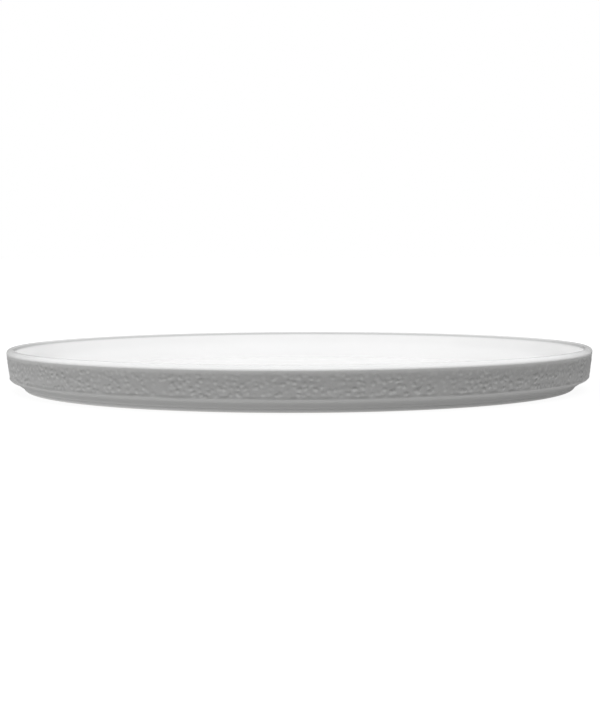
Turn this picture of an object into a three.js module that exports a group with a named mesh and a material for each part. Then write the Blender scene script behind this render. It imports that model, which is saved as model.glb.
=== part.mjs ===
// Round serving platter: a fired clay body and the glaze coats fired on to it.
// Millimetres, +Z up, with the origin on the table under the middle of the platter.
import * as THREE from 'three';

// Overall size
const outerDiameter = 330;
const overallHeight = 23.5;

// Wall and lip: both faces of the wall lean in towards the foot by the same draft
const wallThickness = 4.7;
const wallDraftDegrees = 6.5;
const lipRadius = 2.2;

// Floor of the well, and the cove where it turns up into the wall
const floorThickness = 5;
const coveRadius = 12;

// Stacking step: the band overhangs the foot, and rests on the lip of a platter below
const footHeight = 5.6;
const stepWidth = 8.5;
const bandCornerRadius = 2.8;
const stepFilletRadius = 0.8;

// Foot, its standing ring and the recess inside the ring
const footDraftDegrees = 9;
const footEdgeRadius = 3.6;
const standingWidth = 4;
const standingEdgeRadius = 0.9;
const recessDepth = 2.2;
const recessSlopeDegrees = 50;
const recessFilletRadius = 2;

// Glaze coats, and the gap that keeps a coat's mesh off the clay's
const glazeThickness = 0.5;
const bondGap = 0.02;

// Facets: sides round the axis, and the length and number of facets in a rounded corner
const sidesRound = 72;
const facetLength = 1.3;
const fewestFacets = 2;
const mostFacets = 4;

// Sizes that follow from the ones above
const outerRadius = outerDiameter / 2;
const wallSlope = Math.tan(THREE.MathUtils.degToRad(wallDraftDegrees));
const footSlope = Math.tan(THREE.MathUtils.degToRad(footDraftDegrees));
const recessSlope = Math.tan(THREE.MathUtils.degToRad(recessSlopeDegrees));
const floorHeight = recessDepth + floorThickness;
const footTopRadius = outerRadius - stepWidth;
const footCornerRadius = footTopRadius - footHeight * footSlope;
const standingOuterRadius = footCornerRadius - footEdgeRadius * Math.tan(
  THREE.MathUtils.degToRad((90 - footDraftDegrees) / 2),
);
const standingInnerRadius = standingOuterRadius - standingWidth;

/** A point of the outline, from its distance to the axis and its height. */
function at(radius, height) {
  return new THREE.Vector2(radius, height);
}

/** Radius of the wall's outer face at a height. The lip's round is tangent to it, and is the widest place. */
function outerFace(height) {
  const draft = THREE.MathUtils.degToRad(wallDraftDegrees);
  const tangentRadius = outerRadius - lipRadius * (1 - Math.cos(draft));
  const tangentHeight = overallHeight - lipRadius * (1 + Math.sin(draft));
  return tangentRadius + (height - tangentHeight) * wallSlope;
}

/** Radius of the wall's inner face at a height. */
function innerFace(height) {
  return outerFace(height) - wallThickness * Math.hypot(1, wallSlope);
}

/** Points of the arc that rounds a corner, from the leg before it to the leg after it. */
function roundedCorner(before, corner, after, radius) {
  const toBefore = before.clone().sub(corner).normalize();
  const toAfter = after.clone().sub(corner).normalize();
  const halfAngle = Math.acos(toBefore.dot(toAfter)) / 2;
  const inwards = toBefore.clone().add(toAfter).normalize();
  const centre = corner.clone().addScaledVector(inwards, radius / Math.sin(halfAngle));
  const spoke = corner.clone().addScaledVector(toBefore, radius / Math.tan(halfAngle)).sub(centre);
  const turn = Math.sign(toAfter.cross(toBefore)) * (Math.PI - 2 * halfAngle);
  const wanted = Math.ceil(radius * Math.abs(turn) / facetLength);
  const facets = THREE.MathUtils.clamp(wanted, fewestFacets, mostFacets);
  const points = [];
  for (let facet = 0; facet <= facets; facet += 1) {
    const angle = turn * facet / facets;
    points.push(spoke.clone().rotateAround(new THREE.Vector2(), angle).add(centre));
  }
  return points;
}

/** The same outline moved into the material by a depth, with mitred corners. */
function movedIn(outline, depth) {
  return outline.map((point, index) => {
    const before = outline[Math.max(index - 1, 0)];
    const after = outline[Math.min(index + 1, outline.length - 1)];
    const arriving = point.equals(before) ? after.clone().sub(point) : point.clone().sub(before);
    const leaving = point.equals(after) ? arriving.clone() : after.clone().sub(point);
    const mitre = arriving.normalize().add(leaving.normalize()).normalize();
    const inwards = at(-mitre.y, mitre.x);
    return point.clone().addScaledVector(inwards, depth / mitre.dot(leaving));
  });
}

/** A solid of revolution about Z from an outline that runs outwards underneath and back on top. */
function revolve(outline) {
  return new THREE.LatheGeometry(outline, sidesRound).rotateX(Math.PI / 2);
}

// Corners of the finished outline, from under the middle, round the foot, band and lip, to the well's floor
const underMiddle = at(0, recessDepth);
const recessCorner = at(standingInnerRadius - recessDepth / recessSlope, recessDepth);
const standingCorner = at(standingInnerRadius, 0);
const footCorner = at(footCornerRadius, 0);
const stepCorner = at(footTopRadius, footHeight);
const bandCorner = at(outerFace(footHeight), footHeight);
const lipOuterCorner = at(outerFace(overallHeight), overallHeight);
const lipInnerCorner = at(innerFace(overallHeight), overallHeight);
const coveCorner = at(innerFace(floorHeight), floorHeight);
const floorMiddle = at(0, floorHeight);

// Rounds at those corners
const recessRound = roundedCorner(underMiddle, recessCorner, standingCorner, recessFilletRadius);
const standingRound = roundedCorner(recessCorner, standingCorner, footCorner, standingEdgeRadius);
const footRound = roundedCorner(standingCorner, footCorner, stepCorner, footEdgeRadius);
const stepRound = roundedCorner(footCorner, stepCorner, bandCorner, stepFilletRadius);
const bandRound = roundedCorner(stepCorner, bandCorner, lipOuterCorner, bandCornerRadius);
const lipOuterRound = roundedCorner(bandCorner, lipOuterCorner, lipInnerCorner, lipRadius);
const lipInnerRound = roundedCorner(lipOuterCorner, lipInnerCorner, coveCorner, lipRadius);
const coveRound = roundedCorner(lipInnerCorner, coveCorner, floorMiddle, coveRadius);

// The finished surface, and the two faces that the coats and the clay have under it
const surface = [
  underMiddle,
  ...recessRound,
  ...standingRound,
  ...footRound,
  ...stepRound,
  ...bandRound,
  ...lipOuterRound,
  ...lipInnerRound,
  ...coveRound,
  floorMiddle,
];
const coatBack = movedIn(surface, glazeThickness);
const clayFace = movedIn(surface, glazeThickness + bondGap);

// Where the coats end: at the recess's edge, one facet up from the standing ring, and under the lip
const baseCoatEnd = surface.indexOf(recessRound.at(0));
const bandCoatStart = surface.indexOf(footRound.at(1));
const bandCoatEnd = surface.indexOf(lipOuterRound.at(0));

/** The pressed and fired clay, bare on the standing ring and its inner slope, and glazed elsewhere. */
function clayBody() {
  return revolve([
    ...clayFace.slice(0, baseCoatEnd + 1),
    ...surface.slice(baseCoatEnd, bandCoatStart + 1),
    ...clayFace.slice(bandCoatStart),
  ]);
}

/** Gloss coat that lines the well and turns over the lip. */
function wellGlaze() {
  return revolve([...coatBack.slice(bandCoatEnd).reverse(), ...surface.slice(bandCoatEnd)]);
}

/** Satin coat on the band, the stacking step and the foot's wall. */
function bandGlaze() {
  const face = surface.slice(bandCoatStart, bandCoatEnd + 1);
  const back = coatBack.slice(bandCoatStart, bandCoatEnd + 1).reverse();
  return revolve([...face, ...back, face[0]]);
}

/** Coat on the flat underside, inside the standing ring, flush with the bare clay round it. */
function baseGlaze() {
  return revolve([...surface.slice(0, baseCoatEnd + 1), ...coatBack.slice(0, baseCoatEnd + 1).reverse()]);
}

// Finishes
const bareClay = { color: 0xe6e3dc, roughness: 0.85, metalness: 0 };
const glossGlaze = { color: 0xf7f7f6, roughness: 0.12, metalness: 0 };
const satinGlaze = { color: 0xe9e9e8, roughness: 0.5, metalness: 0 };

/** A named piece of the platter with its finish. */
function piece(name, geometry, finish) {
  const mesh = new THREE.Mesh(geometry, new THREE.MeshStandardMaterial(finish));
  mesh.name = name;
  return mesh;
}

const platter = new THREE.Group();
platter.name = 'round_serving_platter';
platter.add(
  piece('clay_body', clayBody(), bareClay),
  piece('well_glaze', wellGlaze(), glossGlaze),
  piece('band_glaze', bandGlaze(), satinGlaze),
  piece('base_glaze', baseGlaze(), glossGlaze),
);

export default platter;
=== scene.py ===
"""Round serving platter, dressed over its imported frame: fired white clay under gloss and satin glaze."""
import logging
import math
from dataclasses import dataclass, field
from enum import Enum
from typing import Any

import bpy
import numpy as np
from mathutils import Matrix


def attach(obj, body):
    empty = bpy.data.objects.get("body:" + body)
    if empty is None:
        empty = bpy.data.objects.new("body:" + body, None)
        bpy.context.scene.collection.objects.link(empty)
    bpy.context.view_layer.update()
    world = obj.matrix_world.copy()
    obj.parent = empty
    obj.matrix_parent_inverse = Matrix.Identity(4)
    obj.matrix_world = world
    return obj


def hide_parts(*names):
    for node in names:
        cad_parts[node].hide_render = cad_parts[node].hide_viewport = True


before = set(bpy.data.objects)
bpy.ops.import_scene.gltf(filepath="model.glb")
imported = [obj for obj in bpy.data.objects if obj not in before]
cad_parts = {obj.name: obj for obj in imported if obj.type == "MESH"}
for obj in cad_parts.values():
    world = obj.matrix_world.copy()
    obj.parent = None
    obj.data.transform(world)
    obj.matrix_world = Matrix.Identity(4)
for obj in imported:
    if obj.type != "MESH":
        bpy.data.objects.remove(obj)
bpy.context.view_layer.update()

LOG = logging.getLogger("platter")
MM = 0.001
FULL_TURN = 2 * math.pi
BODY = "root"

# Edges sharper than this angle stay crisp
SHARP_ANGLE = math.radians(50)

# Outline points closer together than the first are one, and closer to the axis than the second are on it
SAME_POINT = 1e-7
AXIS_REACH = 1e-9

# Values that a mesh keeps at its points, for its glaze to read
# A grey line of painted shade on the lip's inner shoulder
PAINTED_RIM_SHADE = "painted_rim_shade"
# The pebbles' relief, which the satin glaze also turns into painted shade between them
RELIEF = "relief"

# Colour sockets of a Mix node, which has several of each name: two go in and one comes out
COLOUR_FROM = 6
COLOUR_TO = 7
COLOUR_OUT = 2

Point = np.ndarray | tuple[float, float]
Colour = tuple[float, float, float, float]


class Slot(Enum):
    """Material slots, one for each finish."""

    BARE_CLAY = "bare_clay"
    GLOSS_GLAZE = "gloss_glaze"
    SATIN_GLAZE = "satin_glaze"


class Ends(Enum):
    """How an outline that is turned round the axis begins and ends."""

    ON_AXIS = "on_axis"
    JOINED = "joined"


# Small helpers for colours, node trees and the scene


def linear(hex_colour: str) -> Colour:
    """Turn an sRGB hex colour into a linear one.

    Args:
        hex_colour: six hex digits, such as "f4f4f2".

    Returns:
        Red, green, blue and an alpha of one.
    """
    parts = [int(hex_colour[start:start + 2], 16) / 255 for start in (0, 2, 4)]
    red, green, blue = (
        part / 12.92 if part <= 0.04045 else ((part + 0.055) / 1.055) ** 2.4 for part in parts
    )
    return red, green, blue, 1.0


def feed(
    tree: bpy.types.NodeTree,
    node: bpy.types.Node,
    values: dict[str | int, Any] | None = None,
    links: dict[str | int, bpy.types.NodeSocket] | None = None,
) -> None:
    """Set input sockets of a node.

    Args:
        tree: the tree that the node is in.
        node: the node.
        values: constant values of its input sockets.
        links: sockets that feed its input sockets.
    """
    for name, value in (values or {}).items():
        node.inputs[name].default_value = value
    for name, source in (links or {}).items():
        tree.links.new(source, node.inputs[name])


def add_node(
    tree: bpy.types.NodeTree,
    kind: str,
    settings: dict[str, Any] | None = None,
    values: dict[str | int, Any] | None = None,
    links: dict[str | int, bpy.types.NodeSocket] | None = None,
) -> bpy.types.Node:
    """Add a node to a tree.

    Args:
        tree: the tree that gets the node.
        kind: Blender's name for the kind of node.
        settings: the node's own properties.
        values: constant values of its input sockets.
        links: sockets that feed its input sockets.

    Returns:
        The new node.
    """
    node = tree.nodes.new(kind)
    for name, value in (settings or {}).items():
        setattr(node, name, value)
    feed(tree, node, values, links)
    return node


def new_material(name: str) -> tuple[bpy.types.Material, bpy.types.NodeTree, bpy.types.Node]:
    """Start a material.

    Args:
        name: the material's name.

    Returns:
        The material, its node tree and the shader in that tree.
    """
    material = bpy.data.materials.new(name)
    material.use_nodes = True
    return material, material.node_tree, material.node_tree.nodes["Principled BSDF"]


def put_in_scene(name: str, data: bpy.types.ID) -> bpy.types.Object:
    """Make an object and link it to the scene.

    Args:
        name: the object's name.
        data: its mesh, light or camera.

    Returns:
        The new object.
    """
    thing = bpy.data.objects.new(name, data)
    bpy.context.scene.collection.objects.link(thing)
    return thing


def collected(name: str, members: list[bpy.types.Object]) -> bpy.types.Collection:
    """Gather objects in a collection, for a light to be linked to.

    Args:
        name: the collection's name.
        members: the objects.

    Returns:
        The collection.
    """
    collection = bpy.data.collections.new(name)
    for member in members:
        collection.objects.link(member)
    return collection


# Small helpers for numbers and meshes


def smooth_step(low: float, high: float, value: np.ndarray) -> np.ndarray:
    """Rise smoothly from 0 at low to 1 at high, or fall where high is the lesser.

    Args:
        low: where the step starts.
        high: where the step ends.
        value: where it is wanted.

    Returns:
        The step at each value.
    """
    share = np.clip((value - low) / (high - low), 0, 1)
    return share * share * (3 - 2 * share)


def flat_bump(value: np.ndarray) -> np.ndarray:
    """Bump that is 1 and flat about 0, and steep about 1."""
    return np.exp(-(value ** 4))


def distance_along(points: np.ndarray) -> np.ndarray:
    """Measure the way along an outline to each of its points.

    Args:
        points: rows of radius and height.

    Returns:
        The distance from the first point, in metres.
    """
    steps = np.hypot(*np.diff(points, axis=0).T)
    return np.concatenate([[0.0], np.cumsum(steps)])


def outward(points: np.ndarray) -> np.ndarray:
    """Find the directions that point out of the material along an outline.

    Args:
        points: rows of radius and height, running outwards underneath and back on top.

    Returns:
        One unit vector for each point.
    """
    along = np.gradient(points, axis=0)
    along /= np.linalg.norm(along, axis=1, keepdims=True)
    return np.column_stack([along[:, 1], -along[:, 0]])


def angles_round(columns: int) -> np.ndarray:
    """Angles of columns that stand evenly round the axis."""
    return np.arange(columns) * (FULL_TURN / columns)


def rings_round(radius: np.ndarray, height: np.ndarray, columns: int) -> np.ndarray:
    """Set rings of points round the axis.

    Args:
        radius: rows by columns, or rows by one where it is the same all round.
        height: the same for the height.
        columns: how many places round the axis.

    Returns:
        An array of rows, columns and places.
    """
    angles = angles_round(columns)
    height = np.broadcast_to(height, (len(height), columns))
    return np.stack([radius * np.cos(angles), radius * np.sin(angles), height], axis=2)


def turned(points: np.ndarray, columns: int) -> np.ndarray:
    """Turn an outline's rows of radius and height into even rings round the axis."""
    return rings_round(points[:, :1], points[:, 1:], columns)


def mesh_object(name: str, places: np.ndarray, faces: list[list[int]]) -> bpy.types.Object:
    """Make an object with a mesh.

    Args:
        name: the new object's name.
        places: the mesh's points, in an array whose last axis is the place.
        faces: the points round each face.

    Returns:
        The new object, linked to the scene.
    """
    mesh = bpy.data.meshes.new(name)
    mesh.from_pydata(places.reshape(-1, 3).tolist(), [], faces)
    mesh.update()
    return put_in_scene(name, mesh)


def faces_between(lower: int, upper: int, columns: int) -> list[list[int]]:
    """Make the faces between two rings of points.

    Args:
        lower: the first point of one ring.
        upper: the first point of the other ring.
        columns: how many points each ring has.

    Returns:
        The points round each face.
    """
    here = np.arange(columns)
    beside = np.roll(here, -1)
    return np.column_stack([lower + here, lower + beside, upper + beside, upper + here]).tolist()


def turned_mesh(name: str, rings: np.ndarray, ends: Ends) -> bpy.types.Object:
    """Make a closed mesh from rings of points round the axis.

    Args:
        name: the new object's name.
        rings: an array of rows, columns and places. A first or last row on the axis becomes one point.
        ends: whether the rows run from axis to axis, or the last one joins the first.

    Returns:
        The new object, linked to the scene.
    """
    rows, columns, _ = rings.shape
    faces: list[list[int]] = []
    if ends is Ends.JOINED:
        places = rings.reshape(-1, 3)
        for row in range(rows):
            faces += faces_between(row * columns, (row + 1) % rows * columns, columns)
    else:
        middle = rings[1:-1]
        places = np.concatenate([middle.reshape(-1, 3), rings[0, :1], rings[-1, :1]])
        for row in range(len(middle) - 1):
            faces += faces_between(row * columns, (row + 1) * columns, columns)
        here = np.arange(columns)
        beside = np.roll(here, -1)
        pole = np.full(columns, len(middle) * columns)
        last_row = (len(middle) - 1) * columns
        faces += np.column_stack([pole, beside, here]).tolist()
        faces += np.column_stack([pole + 1, last_row + here, last_row + beside]).tolist()
    piece = mesh_object(name, places, faces)
    piece.data.shade_smooth()
    piece.data.set_sharp_from_angle(angle=SHARP_ANGLE)
    return piece


def keep_values(piece: bpy.types.Object, name: str, values: np.ndarray) -> None:
    """Keep one number at each point of a piece's mesh.

    Args:
        piece: the piece.
        name: what the numbers are called.
        values: the numbers, in the order of the points.
    """
    kept = piece.data.attributes.new(name, "FLOAT", "POINT")
    kept.data.foreach_set("value", values.ravel().astype(np.float32))


# The outline that all four pieces share


@dataclass(frozen=True)
class PlatterSizes:
    """The platter's sizes, the same as its solids have."""

    outer_radius: float = 165 * MM
    overall_height: float = 23.5 * MM
    wall_thickness: float = 4.7 * MM
    wall_draft: float = math.radians(6.5)
    lip_radius: float = 2.2 * MM
    floor_height: float = 7.2 * MM
    cove_radius: float = 12 * MM
    foot_height: float = 5.6 * MM
    step_width: float = 8.5 * MM
    band_corner_radius: float = 2.8 * MM
    step_fillet_radius: float = 0.8 * MM
    foot_draft: float = math.radians(9)
    foot_edge_radius: float = 3.6 * MM
    standing_width: float = 4 * MM
    standing_edge_radius: float = 0.9 * MM
    recess_depth: float = 2.2 * MM
    recess_slope: float = math.radians(50)
    recess_fillet_radius: float = 2 * MM
    glaze_thickness: float = 0.5 * MM
    bond_gap: float = 0.02 * MM
    bare_share_of_foot_edge: float = 0.25

    def outer_face(self, height: float) -> float:
        """Find the wall's outer face, which is tangent to the lip's round.

        Args:
            height: where it is wanted.

        Returns:
            The face's radius there.
        """
        tangent_radius = self.outer_radius - self.lip_radius * (1 - math.cos(self.wall_draft))
        tangent_height = self.overall_height - self.lip_radius * (1 + math.sin(self.wall_draft))
        return tangent_radius + (height - tangent_height) * math.tan(self.wall_draft)

    def inner_face(self, height: float) -> float:
        """Radius of the wall's inner face at a height."""
        return self.outer_face(height) - self.wall_thickness / math.cos(self.wall_draft)


@dataclass(frozen=True)
class Facets:
    """How many parts each stretch of the outline is divided into."""

    under: int = 6
    recess_fillet: int = 5
    standing_edge: int = 5
    foot_edge: int = 8
    foot_wall: int = 1
    step_fillet: int = 3
    step: int = 1
    band_corner: int = 8
    wall: int = 33
    lip: int = 14
    inner_wall: int = 4
    cove: int = 22
    floor: int = 12


class Outline:
    """The finished outline, cut where one finish gives way to the next.

    Each stretch runs the same way: outwards underneath, up outside, over the lip and back to the axis.
    """

    def __init__(self, sizes: PlatterSizes, facets: Facets) -> None:
        """Work out every stretch.

        Args:
            sizes: the platter's sizes.
            facets: how finely each stretch is divided.
        """
        self.sizes = sizes
        foot_top = sizes.outer_radius - sizes.step_width
        foot_bottom = foot_top - sizes.foot_height * math.tan(sizes.foot_draft)
        edge_reach = sizes.foot_edge_radius * math.tan((math.pi / 2 - sizes.foot_draft) / 2)
        standing_inner = foot_bottom - edge_reach - sizes.standing_width
        recess_run = sizes.recess_depth / math.tan(sizes.recess_slope)
        top = sizes.overall_height

        # Corners, from under the middle round to the middle of the well
        under_middle = (0, sizes.recess_depth)
        recess = (standing_inner - recess_run, sizes.recess_depth)
        standing = (standing_inner, 0)
        foot = (foot_bottom, 0)
        step = (foot_top, sizes.foot_height)
        band = (sizes.outer_face(sizes.foot_height), sizes.foot_height)
        lip_outer = (sizes.outer_face(top), top)
        lip_inner = (sizes.inner_face(top), top)
        cove = (sizes.inner_face(sizes.floor_height), sizes.floor_height)
        floor_middle = (0, sizes.floor_height)

        # Rounds at those corners
        recess_round = self.rounded(
            under_middle, recess, standing, sizes.recess_fillet_radius, facets.recess_fillet,
        )
        standing_round = self.rounded(
            recess, standing, foot, sizes.standing_edge_radius, facets.standing_edge,
        )
        foot_round = self.rounded(standing, foot, step, sizes.foot_edge_radius, facets.foot_edge)
        step_round = self.rounded(foot, step, band, sizes.step_fillet_radius, facets.step_fillet)
        band_round = self.rounded(step, band, lip_outer, sizes.band_corner_radius, facets.band_corner)
        lip_outer_round = self.rounded(band, lip_outer, lip_inner, sizes.lip_radius, facets.lip)
        lip_inner_round = self.rounded(lip_outer, lip_inner, cove, sizes.lip_radius, facets.lip)
        cove_round = self.rounded(lip_inner, cove, floor_middle, sizes.cove_radius, facets.cove)

        # Stretches of one finish each, with the outside in three: foot, lower corner and pebbled wall
        coat_start = round(sizes.bare_share_of_foot_edge * (len(foot_round) - 1))
        self.under = self.straight(under_middle, recess_round[0], facets.under)
        self.bare = self.joined(recess_round, standing_round, foot_round[:coat_start + 1])
        self.foot = self.joined(
            foot_round[coat_start:],
            self.straight(foot_round[-1], step_round[0], facets.foot_wall),
            step_round,
            self.straight(step_round[-1], band_round[0], facets.step),
        )
        self.corner = band_round
        self.wall = self.straight(band_round[-1], lip_outer_round[0], facets.wall)
        self.well = self.joined(
            lip_outer_round,
            lip_inner_round,
            self.straight(lip_inner_round[-1], cove_round[0], facets.inner_wall),
            cove_round,
            self.straight(cove_round[-1], floor_middle, facets.floor),
        )

    @staticmethod
    def straight(start: Point, end: Point, parts: int) -> np.ndarray:
        """Divide a straight stretch into equal parts.

        Args:
            start: radius and height of its start.
            end: radius and height of its end.
            parts: how many parts.

        Returns:
            The points, both ends included.
        """
        return np.linspace(np.asarray(start, float), np.asarray(end, float), parts + 1)

    @staticmethod
    def rounded(before: Point, corner: Point, after: Point, radius: float, parts: int) -> np.ndarray:
        """Round a corner of the outline with an arc.

        Args:
            before: the corner before it.
            corner: the corner itself.
            after: the corner after it.
            radius: the arc's radius.
            parts: how many parts the arc has.

        Returns:
            The arc's points, from the leg before to the leg after.
        """
        corner = np.asarray(corner, float)
        to_before = np.asarray(before, float) - corner
        to_before /= np.linalg.norm(to_before)
        to_after = np.asarray(after, float) - corner
        to_after /= np.linalg.norm(to_after)
        half = math.acos(float(to_before @ to_after)) / 2
        inwards = (to_before + to_after) / np.linalg.norm(to_before + to_after)
        centre = corner + inwards * radius / math.sin(half)
        spoke = corner + to_before * radius / math.tan(half) - centre
        side = np.sign(to_after[0] * to_before[1] - to_after[1] * to_before[0])
        turn = np.linspace(0, side * (math.pi - 2 * half), parts + 1)
        return np.column_stack([
            centre[0] + spoke[0] * np.cos(turn) - spoke[1] * np.sin(turn),
            centre[1] + spoke[0] * np.sin(turn) + spoke[1] * np.cos(turn),
        ])

    @staticmethod
    def joined(*stretches: np.ndarray) -> np.ndarray:
        """Join stretches end to end, with the points that they share kept once.

        Args:
            stretches: arrays of radius and height.

        Returns:
            One array of them all.
        """
        points = np.concatenate(stretches)
        apart = np.hypot(*np.diff(points, axis=0).T) > SAME_POINT
        return points[np.concatenate([[True], apart])]

    @staticmethod
    def moved_in(points: np.ndarray, depth: float) -> np.ndarray:
        """Move a stretch into the material.

        Args:
            points: the stretch.
            depth: how far.

        Returns:
            The moved stretch, with its points on the axis still on it.
        """
        moved = points - outward(points) * depth
        moved[points[:, 0] < AXIS_REACH, 0] = 0
        return moved


# The relief of the band


@dataclass(frozen=True)
class PebbleRelief:
    """Small uneven pebbles on the band, with a soft bead along the band's lower edge.

    The pebbles stand in staggered rows. They come and go in patches, thin out towards the lip, and are
    quieter at the two ends of the X axis.
    """

    # Pitch of the pebbles, their stagger, scatter and half widths as shares of it, and their lean in radians
    pitch_round: float = 3.2 * MM
    pitch_up: float = 2.8 * MM
    stagger: float = 0.5
    scatter: float = 0.42
    long_half: tuple[float, float] = (0.34, 0.52)
    short_half: tuple[float, float] = (0.3, 0.44)
    most_lean: float = 1.2

    # Rows laid past each edge of the band, and the rows and columns of pebbles that can reach a point
    spare_rows: int = 2
    neighbours: tuple[int, ...] = (-1, 0, 1, 2)

    # How high they stand, how far the ground between them is sunk, and the slow swell and barrel under them
    height: float = 0.66 * MM
    strengths: tuple[float, float] = (0.2, 1.0)
    sunk_share: float = 0.3
    swell: float = 0.16 * MM
    barrel: float = 0.1 * MM

    # Patches: waves round the band, the way up in which one slants by a radian, and what they do to the height
    patch_waves: tuple[int, ...] = (2, 7, 13, 22, 37, 58)
    swell_waves: tuple[int, ...] = (61, 83, 97, 127, 151)
    slant_length: float = 3 * MM
    wave_divisor: float = 3
    patch_mean: float = 0.8
    patch_swing: float = 0.5
    patch_limits: tuple[float, float] = (0.25, 1.15)

    # Where they fade: under the lip, upwards, at the lower corner and at the two ends
    bare_under_lip: float = 0.5 * MM
    smooth_under_lip: float = 1.7 * MM
    thinning_upwards: float = 0.35
    corner_share: float = 0.8
    smooth_over_corner: float = 1.5 * MM
    quiet_share: float = 0.72
    quiet_half_angle: float = math.radians(17)

    # The bead
    bead_height: float = 0.3 * MM
    bead_width: float = 0.7 * MM
    bead_wander: float = 0.2 * MM
    bead_mean: float = 0.7
    bead_swing: float = 0.5
    bead_limits: tuple[float, float] = (0.1, 1.2)

    seed: int = 299

    def patches(
        self, around: np.ndarray, up: np.ndarray, waves: tuple[int, ...], draw: np.random.Generator,
    ) -> np.ndarray:
        """Make slow patches that close on themselves round the band.

        Args:
            around: angle of each column.
            up: distance of each row up the band.
            waves: how many times each of the waves that make them up goes round.
            draw: source of random numbers.

        Returns:
            Values about 0, rows by columns.
        """
        total = np.zeros((len(up), len(around)))
        for count in waves:
            phase = draw.uniform(0, FULL_TURN)
            slant = draw.uniform(-1, 1)
            total += np.sin(count * around[None, :] + phase + slant * up[:, None] / self.slant_length)
        return total / self.wave_divisor

    def pebbles(self, around: np.ndarray, up: np.ndarray, girth: float) -> np.ndarray:
        """Lay staggered rows of uneven domes on the band.

        Args:
            around: angle of each column.
            up: distance of each row up the band.
            girth: the way once round the band.

        Returns:
            The domes' height from 0 in the valleys to about 1, rows by columns.
        """
        draw = np.random.default_rng(self.seed)
        many = round(girth / self.pitch_round)
        levels = math.ceil(up[-1] / self.pitch_up) + 2 * self.spare_rows
        shape = (levels, many)
        shift_round = draw.uniform(-self.scatter, self.scatter, shape)
        shift_up = draw.uniform(-self.scatter, self.scatter, shape)
        long_half = draw.uniform(*self.long_half, shape) * self.pitch_round
        short_half = draw.uniform(*self.short_half, shape) * self.pitch_round
        lean = draw.uniform(-self.most_lean, self.most_lean, shape)
        strength = draw.uniform(*self.strengths, shape)

        # Each point takes a soft maximum, the cube root of the sum of cubes, of the domes near it
        column = around / FULL_TURN * many
        level = up / self.pitch_up + self.spare_rows
        total = np.zeros((len(up), len(around)))
        for level_step in self.neighbours:
            row = np.clip(np.floor(level).astype(int) + level_step, 0, levels - 1)[:, None]
            stagger = self.stagger * (row % 2)
            nearest = np.floor(column[None, :] - stagger).astype(int)
            for column_step in self.neighbours:
                cell = nearest + column_step
                key = (np.broadcast_to(row, cell.shape), cell % many)
                aside = (column[None, :] - stagger - cell - shift_round[key]) * self.pitch_round
                above = (level[:, None] - row - shift_up[key]) * self.pitch_up
                turn_cos = np.cos(lean[key])
                turn_sin = np.sin(lean[key])
                far = ((aside * turn_cos + above * turn_sin) / long_half[key]) ** 2
                far += ((above * turn_cos - aside * turn_sin) / short_half[key]) ** 2
                dome = strength[key] * np.clip(1 - far, 0, 1)
                total += dome ** 3
        return np.cbrt(total)

    def heights(
        self, around: np.ndarray, up: np.ndarray, corner_end: float, radius: float,
    ) -> tuple[np.ndarray, np.ndarray]:
        """Work out how far the band stands off its smooth outline.

        Args:
            around: angle of each column.
            up: distance of each row from the start of the band's lower corner.
            corner_end: distance at which that corner gives way to the straight wall.
            radius: the band's radius.

        Returns:
            The heights in metres, and the share of a pebble's height, both rows by columns.
        """
        draw = np.random.default_rng(self.seed + 1)
        patch = self.patches(around, up, self.patch_waves, draw)
        swells = self.patches(around, up, self.swell_waves, draw)
        domes = self.pebbles(around, up, FULL_TURN * radius)

        lip_end = up[-1]
        low = self.corner_share * corner_end
        fade = smooth_step(lip_end - self.bare_under_lip, lip_end - self.smooth_under_lip, up)
        fade = fade * smooth_step(low, low + self.smooth_over_corner, up)
        share = domes * fade[:, None]
        wall_share = np.clip((up - corner_end) / (lip_end - corner_end), 0, 1)
        strength = np.clip(self.patch_mean + self.patch_swing * patch, *self.patch_limits)
        strength *= (1 - self.thinning_upwards * wall_share)[:, None]
        off_end = np.arcsin(np.abs(np.sin(around))) / self.quiet_half_angle
        strength *= 1 - self.quiet_share * flat_bump(off_end)
        heights = self.height * (share * strength - self.sunk_share * fade[:, None])
        heights += self.swell * swells * fade[:, None]

        # The barrel is highest half way up the wall, and the bead runs along the corner below it
        heights += self.barrel * (4 * wall_share * (1 - wall_share))[:, None]
        bead_at = low - self.bead_wander + self.bead_wander * patch[0]
        bead = np.exp(-((up[:, None] - bead_at[None, :]) / self.bead_width) ** 2)
        bead_strength = np.clip(self.bead_mean + self.bead_swing * patch[-1], *self.bead_limits)
        heights += self.bead_height * bead * bead_strength[None, :]
        return heights, share


# Finishes


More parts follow.
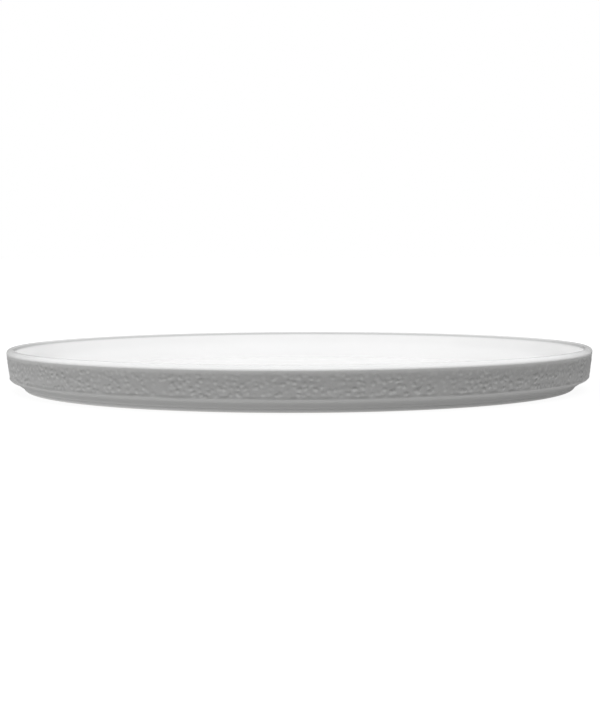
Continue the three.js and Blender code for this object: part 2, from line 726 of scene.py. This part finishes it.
@dataclass(frozen=True)
class GlossGlaze:
    """Clear gloss glaze, dipped and fired over white porcelain clay.

    It gives the eye an even white with sharp, slightly wavy reflections. A grey line painted round the lip's
    inner shoulder stands in for shade there.
    """

    name: str = "gloss_glaze_dipped_and_fired"
    white: str = "f6f6f6"
    shaded_white: str = "f1f1f1"
    # Grey of the line of painted shade on the lip's inner shoulder
    rim_shade_grey: str = "c8c8c8"
    roughness: float = 0.1
    dull_roughness: float = 0.17
    ior: float = 1.52
    ripple: float = 9 * MM
    ripple_depth: float = 0.002 * MM
    cloud: float = 45 * MM
    cloud_spread: tuple[float, float] = (0.35, 0.7)

    def material(self) -> bpy.types.Material:
        """Make the material.

        Returns:
            A material whose colour, roughness and surface vary as the glaze flowed, with a line of painted
            shade on the lip.
        """
        material, tree, shader = new_material(self.name)
        place = add_node(tree, "ShaderNodeTexCoord").outputs["Object"]
        clouds = add_node(
            tree, "ShaderNodeTexNoise",
            values={"Scale": 1 / self.cloud, "Detail": 3.0, "Roughness": 0.5},
            links={"Vector": place},
        )
        clouded = add_node(
            tree, "ShaderNodeMix", settings={"data_type": "RGBA"},
            values={COLOUR_FROM: linear(self.shaded_white), COLOUR_TO: linear(self.white)},
            links={"Factor": clouds.outputs["Fac"]},
        )
        # Mix in the grey line of painted shade on the lip's inner shoulder
        painted_rim_shade = add_node(tree, "ShaderNodeAttribute", settings={"attribute_name": PAINTED_RIM_SHADE})
        colour = add_node(
            tree, "ShaderNodeMix", settings={"data_type": "RGBA"},
            values={COLOUR_TO: linear(self.rim_shade_grey)},
            links={"Factor": painted_rim_shade.outputs["Fac"], COLOUR_FROM: clouded.outputs[COLOUR_OUT]},
        )
        dullness = add_node(
            tree, "ShaderNodeMapRange",
            values={
                "From Min": self.cloud_spread[0],
                "From Max": self.cloud_spread[1],
                "To Min": self.roughness,
                "To Max": self.dull_roughness,
            },
            links={"Value": clouds.outputs["Fac"]},
        )
        ripples = add_node(
            tree, "ShaderNodeTexNoise",
            values={"Scale": 1 / self.ripple, "Detail": 1.0},
            links={"Vector": place},
        )
        surface = add_node(
            tree, "ShaderNodeBump",
            values={"Strength": 1.0, "Distance": self.ripple_depth},
            links={"Height": ripples.outputs["Fac"]},
        )
        feed(
            tree, shader,
            values={"IOR": self.ior},
            links={
                "Base Color": colour.outputs[COLOUR_OUT],
                "Roughness": dullness.outputs["Result"],
                "Normal": surface.outputs["Normal"],
            },
        )
        return material


@dataclass(frozen=True)
class SatinGlaze:
    """Satin white glaze, sprayed thin and fired over the pressed pebbles.

    It is a soft even white that shines a little on the crests, painted greyer between them as shade.
    """

    name: str = "satin_glaze_sprayed_and_fired"
    crest_white: str = "e9e9e8"
    # Painted shade in the hollows between the pebbles
    hollow_shade_white: str = "dcdcdb"
    roughness: float = 0.46
    crest_roughness: float = 0.36
    ior: float = 1.5
    grain: float = 1.1 * MM
    grain_depth: float = 0.03 * MM

    def material(self) -> bpy.types.Material:
        """Make the material.

        Returns:
            A material that follows the relief kept at the mesh's points.
        """
        material, tree, shader = new_material(self.name)
        place = add_node(tree, "ShaderNodeTexCoord").outputs["Object"]
        relief = add_node(tree, "ShaderNodeAttribute", settings={"attribute_name": RELIEF})
        # Greyer where the relief is low: painted shade between the pebbles
        colour = add_node(
            tree, "ShaderNodeMix", settings={"data_type": "RGBA"},
            values={COLOUR_FROM: linear(self.hollow_shade_white), COLOUR_TO: linear(self.crest_white)},
            links={"Factor": relief.outputs["Fac"]},
        )
        shine = add_node(
            tree, "ShaderNodeMapRange",
            values={"To Min": self.roughness, "To Max": self.crest_roughness},
            links={"Value": relief.outputs["Fac"]},
        )
        grains = add_node(
            tree, "ShaderNodeTexNoise",
            values={"Scale": 1 / self.grain, "Detail": 2.0},
            links={"Vector": place},
        )
        surface = add_node(
            tree, "ShaderNodeBump",
            values={"Strength": 1.0, "Distance": self.grain_depth},
            links={"Height": grains.outputs["Fac"]},
        )
        feed(
            tree, shader,
            values={"IOR": self.ior},
            links={
                "Base Color": colour.outputs[COLOUR_OUT],
                "Roughness": shine.outputs["Result"],
                "Normal": surface.outputs["Normal"],
            },
        )
        return material


@dataclass(frozen=True)
class BareClay:
    """Bare fired porcelain clay, ground flat where it stood on the kiln shelf.

    It is dry, dull and a little warmer than the glaze, with fine grit. The grit is drawn three times coarser
    than the real 0.2 mm, so that it shows.
    """

    name: str = "bare_clay_fired_and_ground"
    clay: str = "e9e5dd"
    grit_colour: str = "d3cdc2"
    roughness: float = 0.85
    grit: float = 0.6 * MM
    grit_depth: float = 0.04 * MM
    grit_spread: tuple[float, float] = (0.35, 0.6)

    def material(self) -> bpy.types.Material:
        """Make the material.

        Returns:
            A dull, gritty material.
        """
        material, tree, shader = new_material(self.name)
        place = add_node(tree, "ShaderNodeTexCoord").outputs["Object"]
        grits = add_node(
            tree, "ShaderNodeTexNoise",
            values={"Scale": 1 / self.grit, "Detail": 4.0, "Roughness": 0.65},
            links={"Vector": place},
        )
        spread = add_node(
            tree, "ShaderNodeMapRange",
            values={"From Min": self.grit_spread[0], "From Max": self.grit_spread[1]},
            links={"Value": grits.outputs["Fac"]},
        )
        colour = add_node(
            tree, "ShaderNodeMix", settings={"data_type": "RGBA"},
            values={COLOUR_FROM: linear(self.grit_colour), COLOUR_TO: linear(self.clay)},
            links={"Factor": spread.outputs["Result"]},
        )
        surface = add_node(
            tree, "ShaderNodeBump",
            values={"Strength": 1.0, "Distance": self.grit_depth},
            links={"Height": grits.outputs["Fac"]},
        )
        feed(
            tree, shader,
            values={"Roughness": self.roughness},
            links={
                "Base Color": colour.outputs[COLOUR_OUT],
                "Normal": surface.outputs["Normal"],
            },
        )
        return material


# Pieces


def settle(piece: bpy.types.Object, material: bpy.types.Material) -> None:
    """Dress a piece and put it in the place of the solid of the same name.

    Args:
        piece: the new piece, whose name starts with the solid's.
        material: its finish.
    """
    piece.data.materials.append(material)
    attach(piece, BODY)
    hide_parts(piece.name.removesuffix(".dressed"))


@dataclass
class ClayBody:
    """The pressed and fired clay: bare on the standing ring, and under glaze elsewhere."""

    outline: Outline
    columns: int = 288

    def build(self, material: bpy.types.Material) -> bpy.types.Object:
        """Build and dress the clay.

        Args:
            material: the bare clay.

        Returns:
            The finished piece.
        """
        outline = self.outline
        depth = outline.sizes.glaze_thickness + outline.sizes.bond_gap
        coated = outline.joined(outline.foot, outline.corner, outline.wall, outline.well)
        points = np.concatenate([
            outline.moved_in(outline.under, depth),
            outline.bare,
            outline.moved_in(coated, depth),
        ])
        piece = turned_mesh("clay_body.dressed", turned(points, self.columns), Ends.ON_AXIS)
        settle(piece, material)
        return piece


@dataclass
class WellGlaze:
    """The gloss coat that lines the well and turns over the lip, painted grey on the inner shoulder as shade.

    The line of painted shade is placed by the way over the lip from the coat's outer edge.
    """

    outline: Outline
    columns: int = 512
    # Middle and half width of the line of painted shade on the lip's inner shoulder
    rim_shade_middle: float = 6.15 * MM
    rim_shade_half_width: float = 0.92 * MM

    def build(self, material: bpy.types.Material) -> bpy.types.Object:
        """Build and dress the coat.

        Args:
            material: the gloss glaze.

        Returns:
            The finished piece.
        """
        face = self.outline.well
        back = self.outline.moved_in(face, self.outline.sizes.glaze_thickness)
        points = np.concatenate([back[::-1], face])
        piece = turned_mesh("well_glaze.dressed", turned(points, self.columns), Ends.ON_AXIS)
        # The line of painted shade on the lip's inner shoulder, one share for each row of the face and none on
        # the back
        thin = flat_bump((distance_along(face) - self.rim_shade_middle) / self.rim_shade_half_width)
        rows = np.concatenate([np.zeros(len(back)), thin])[1:-1]
        keep_values(piece, PAINTED_RIM_SHADE, np.concatenate([np.repeat(rows, self.columns), [0.0, 0.0]]))
        settle(piece, material)
        return piece


@dataclass
class BaseGlaze:
    """The gloss coat on the flat underside, inside the standing ring."""

    outline: Outline
    columns: int = 288

    def build(self, material: bpy.types.Material) -> bpy.types.Object:
        """Build and dress the coat.

        Args:
            material: the gloss glaze.

        Returns:
            The finished piece.
        """
        face = self.outline.under
        back = self.outline.moved_in(face, self.outline.sizes.glaze_thickness)
        points = np.concatenate([face, back[::-1]])
        piece = turned_mesh("base_glaze.dressed", turned(points, self.columns), Ends.ON_AXIS)
        settle(piece, material)
        return piece


@dataclass
class BandGlaze:
    """The satin coat on the pebbled band, the stacking step and the foot's wall."""

    outline: Outline
    relief: PebbleRelief = field(default_factory=PebbleRelief)
    columns: int = 1700
    back_rows: int = 5

    def face_rings(self, face: np.ndarray) -> tuple[np.ndarray, np.ndarray]:
        """Turn the face round the axis, with its pebbles standing off it, but not out past the lip.

        Args:
            face: the coat's smooth outline, from the foot up to the lip.

        Returns:
            The rings of points, and the share of a pebble's height at each.
        """
        corner = self.outline.corner
        wall = self.outline.wall
        band = self.outline.joined(corner, wall)
        up = distance_along(band)
        heights, share = self.relief.heights(
            angles_round(self.columns), up, up[len(corner) - 1], float(wall[:, 0].mean()),
        )
        smooth = np.zeros((len(face) - len(band), self.columns))
        heights = np.concatenate([smooth, heights])
        share = np.concatenate([smooth, share])
        out = outward(face)
        radius = np.minimum(face[:, :1] + out[:, :1] * heights, self.outline.sizes.outer_radius)
        height = face[:, 1:] + out[:, 1:] * heights
        return rings_round(radius, height, self.columns), share

    def build(self, material: bpy.types.Material) -> bpy.types.Object:
        """Build and dress the coat.

        Args:
            material: the satin glaze.

        Returns:
            The finished piece.
        """
        outline = self.outline
        face = outline.joined(outline.foot, outline.corner, outline.wall)
        rings, share = self.face_rings(face)
        back = outline.moved_in(face, outline.sizes.glaze_thickness)
        kept = np.linspace(0, len(back) - 1, self.back_rows).round().astype(int)
        back_rings = turned(back[kept[::-1]], self.columns)
        piece = turned_mesh("band_glaze.dressed", np.concatenate([rings, back_rings]), Ends.JOINED)
        shares = np.concatenate([share, np.zeros((self.back_rows, self.columns))])
        keep_values(piece, RELIEF, np.clip(shares, 0, 1))
        settle(piece, material)
        return piece


# Studio


@dataclass(frozen=True)
class SoftLight:
    """One broad soft light, so far off that only its direction counts.

    Its strength is what it gives a surface that faces it, in watts per square metre, and its spread is how
    wide it looks. It is tilted from overhead, and turned from the front towards the right.
    """

    name: str
    strength: float
    spread: float
    tilt: float = 0.0
    turn: float = 0.0

    def hang(self, lit: list[bpy.types.Object]) -> bpy.types.Object:
        """Hang the light.

        Args:
            lit: the objects that its light reaches.

        Returns:
            The light.
        """
        light = bpy.data.lights.new(self.name, "SUN")
        light.energy = self.strength
        light.angle = self.spread
        lamp = put_in_scene(self.name, light)
        lamp.rotation_euler = (self.tilt, 0, self.turn)
        lamp.light_linking.receiver_collection = collected(self.name + "_reaches", lit)
        return lamp


@dataclass(frozen=True)
class Studio:
    """A white table that glows, soft lights overhead and all round, and a camera low in front.

    The table lights the platter's outside from below, less so in a ring of shade under the band's overhang.
    One broad light overhead and four low ones, which don't show in reflections, light the platter alone, and
    one more light reaches only the table. A black card with a round hole keeps the overhead light off the
    outside.
    """

    # Table, and how it looks to the camera
    table_radius: float = 60.0
    table_sides: int = 96
    table_drop: float = 0.05 * MM
    table_grey: str = "707070"
    table_glow_seen: float = 0.9

    # Glow that lights the platter: it fades with the distance from the middle, and from left to right
    glow_near: float = 0.92
    glow_near_radius: float = 178 * MM
    glow_far: float = 0.43
    glow_far_radius: float = 260 * MM
    glow_left: float = 1.0
    glow_right: float = 0.64
    glow_half_width: float = 200 * MM

    # Ring of shade, whose middle lies a little to the left of the platter's
    ring_shade: float = 0.31
    ring_radius: float = 160.6 * MM
    ring_half_width: float = 9.4 * MM
    ring_aside: float = -1.2 * MM

    # Lights: one overhead, four low ones from the front round by the right, and the table's own
    key_strength: float = 1.38
    key_spread: float = math.radians(140)
    key_tilt: float = math.radians(6)
    fill_strengths: tuple[float, float, float, float] = (1.4, 1.06, 0.68, 1.06)
    fill_spread: float = math.radians(80)
    fill_tilt: float = math.radians(72)
    table_light_strength: float = 5.0

    # Card with a hole
    card_gap: float = 1.8 * MM
    card_height: float = 22 * MM
    card_radius: float = 450 * MM
    card_sides: int = 144
    card_black: str = "202020"

    # Room: its light on the platter, and how bright it is in reflections
    room_light: float = 0.14
    room_mirrored: float = 0.3

    # Camera
    camera_place: tuple[float, float, float] = (0.0, -0.884, 0.07406)
    camera_pitch: float = math.radians(3.8169)
    camera_yaw: float = math.radians(0.02)
    camera_roll: float = math.radians(0.19)
    camera_lens: float = 77.26

    def build(self, pieces: list[bpy.types.Object], lip_radius: float) -> None:
        """Build the table, the card, the lights, the room and the camera.

        Args:
            pieces: the platter's pieces.
            lip_radius: radius of the platter's lip, which the card's hole clears.
        """
        table = self.build_table()
        self.build_card(lip_radius)
        SoftLight("key_light", self.key_strength, self.key_spread, self.key_tilt).hang(pieces)
        for quarter, strength in enumerate(self.fill_strengths):
            turn = quarter * math.pi / 2
            fill = SoftLight(f"fill_light_{quarter}", strength, self.fill_spread, self.fill_tilt, turn)
            fill.hang(pieces).visible_glossy = False
        lamp = SoftLight("table_light", self.table_light_strength, self.key_spread).hang([table])
        lamp.light_linking.blocker_collection = collected("table_light_blockers", pieces)
        self.build_room()
        self.build_camera()
        bpy.context.scene.view_settings.view_transform = "Standard"

    def build_card(self, lip_radius: float) -> None:
        """Hold a card with a round hole just under the lip, to screen the outside from the light overhead.

        Neither the camera nor a reflection shows it.

        Args:
            lip_radius: radius of the platter's lip.
        """
        edges = np.array([
            [lip_radius + self.card_gap, self.card_height],
            [self.card_radius, self.card_height],
        ])
        sides = self.card_sides
        card = mesh_object("card_with_hole", turned(edges, sides), faces_between(0, sides, sides))
        card.visible_camera = False
        card.visible_glossy = False
        material, tree, shader = new_material("card_matt_black")
        feed(
            tree, shader,
            values={"Base Color": linear(self.card_black), "Roughness": 1.0, "Specular IOR Level": 0.0},
        )
        card.data.materials.append(material)

    def build_table(self) -> bpy.types.Object:
        """Lay a plain white table that is lit from inside, so that it hardly takes a shadow.

        Returns:
            The table.
        """
        edge = np.array([[self.table_radius, -self.table_drop]])
        table = mesh_object("light_table", turned(edge, self.table_sides), [list(range(self.table_sides))])
        table.data.materials.append(self.table_material())
        return table

    def table_material(self) -> bpy.types.Material:
        """Make the table's matt acrylic, which glows on top and isn't there from below.

        Returns:
            A material that looks evenly white, and whose light on the platter varies over the table.
        """
        material, tree, shader = new_material("light_table_matt_acrylic")
        seen = add_node(tree, "ShaderNodeLightPath").outputs["Is Camera Ray"]
        spot = add_node(tree, "ShaderNodeNewGeometry")
        place = spot.outputs["Position"]
        colour = add_node(
            tree, "ShaderNodeMix", settings={"data_type": "RGBA"},
            values={COLOUR_FROM: linear("000000"), COLOUR_TO: linear(self.table_grey)},
            links={"Factor": seen},
        )
        away = add_node(tree, "ShaderNodeVectorMath", settings={"operation": "LENGTH"}, links={0: place})
        fading = add_node(
            tree, "ShaderNodeMapRange",
            values={
                "From Min": self.glow_near_radius,
                "From Max": self.glow_far_radius,
                "To Min": self.glow_near,
                "To Max": self.glow_far,
            },
            links={"Value": away.outputs["Value"]},
        )
        across = add_node(tree, "ShaderNodeSeparateXYZ", links={"Vector": place})
        side = add_node(
            tree, "ShaderNodeMapRange",
            values={
                "From Min": -self.glow_half_width,
                "From Max": self.glow_half_width,
                "To Min": self.glow_left,
                "To Max": self.glow_right,
            },
            links={"Value": across.outputs["X"]},
        )
        from_middle = add_node(
            tree, "ShaderNodeVectorMath", settings={"operation": "DISTANCE"},
            values={1: (self.ring_aside, 0, 0)},
            links={0: place},
        )
        from_ring = add_node(
            tree, "ShaderNodeMath", settings={"operation": "SUBTRACT"},
            values={1: self.ring_radius},
            links={0: from_middle.outputs["Value"]},
        )
        off_ring = add_node(
            tree, "ShaderNodeMath", settings={"operation": "ABSOLUTE"},
            links={0: from_ring.outputs["Value"]},
        )
        shaded = add_node(
            tree, "ShaderNodeMapRange", settings={"interpolation_type": "SMOOTHSTEP"},
            values={"From Max": self.ring_half_width, "To Min": self.ring_shade},
            links={"Value": off_ring.outputs["Value"]},
        )
        evenly = add_node(
            tree, "ShaderNodeMath", settings={"operation": "MULTIPLY"},
            links={0: fading.outputs["Result"], 1: shaded.outputs["Result"]},
        )
        given = add_node(
            tree, "ShaderNodeMath", settings={"operation": "MULTIPLY"},
            links={0: evenly.outputs["Value"], 1: side.outputs["Result"]},
        )
        glow = add_node(
            tree, "ShaderNodeMapRange",
            values={"To Max": self.table_glow_seen},
            links={"Value": seen, "To Min": given.outputs["Value"]},
        )
        top_only = add_node(
            tree, "ShaderNodeMapRange",
            values={"To Min": 1.0, "To Max": 0.0},
            links={"Value": spot.outputs["Backfacing"]},
        )
        feed(
            tree, shader,
            values={"Roughness": 1.0, "Specular IOR Level": 0.0, "Emission Color": linear("ffffff")},
            links={
                "Base Color": colour.outputs[COLOUR_OUT],
                "Emission Strength": glow.outputs["Result"],
                "Alpha": top_only.outputs["Result"],
            },
        )
        return material

    def build_room(self) -> None:
        """Fill the room with dim light before a white backdrop."""
        world = bpy.data.worlds.new("white_room")
        world.use_nodes = True
        tree = world.node_tree
        ray = add_node(tree, "ShaderNodeLightPath")
        indoors = add_node(
            tree, "ShaderNodeMapRange",
            values={"To Min": self.room_light, "To Max": self.room_mirrored},
            links={"Value": ray.outputs["Is Glossy Ray"]},
        )
        brightness = add_node(
            tree, "ShaderNodeMapRange",
            values={"To Max": 1.0},
            links={"Value": ray.outputs["Is Camera Ray"], "To Min": indoors.outputs["Result"]},
        )
        feed(
            tree, tree.nodes["Background"],
            values={"Color": linear("ffffff")},
            links={"Strength": brightness.outputs["Result"]},
        )
        bpy.context.scene.world = world

    def build_camera(self) -> None:
        """Place the camera where the photograph was taken from."""
        data = bpy.data.cameras.new("camera")
        data.lens = self.camera_lens
        camera = put_in_scene("camera", data)
        turn = Matrix.Rotation(-self.camera_yaw, 4, "Z")
        turn = turn @ Matrix.Rotation(math.pi / 2 - self.camera_pitch, 4, "X")
        turn = turn @ Matrix.Rotation(-self.camera_roll, 4, "Z")
        camera.matrix_world = Matrix.Translation(self.camera_place) @ turn
        bpy.context.scene.camera = camera


def main() -> None:
    """Build the platter's four pieces and the studio, and report each piece."""
    logging.basicConfig(level=logging.INFO, format="%(name)s: %(message)s")
    sizes = PlatterSizes()
    outline = Outline(sizes, Facets())
    gloss = GlossGlaze().material()
    pieces = [
        ClayBody(outline).build(BareClay().material()),
        WellGlaze(outline).build(gloss),
        BandGlaze(outline).build(SatinGlaze().material()),
        BaseGlaze(outline).build(gloss),
    ]
    for piece in pieces:
        LOG.info("%s has %d faces", piece.name, len(piece.data.polygons))
    Studio().build(pieces, sizes.outer_radius)


if __name__ == "__main__":
    main()
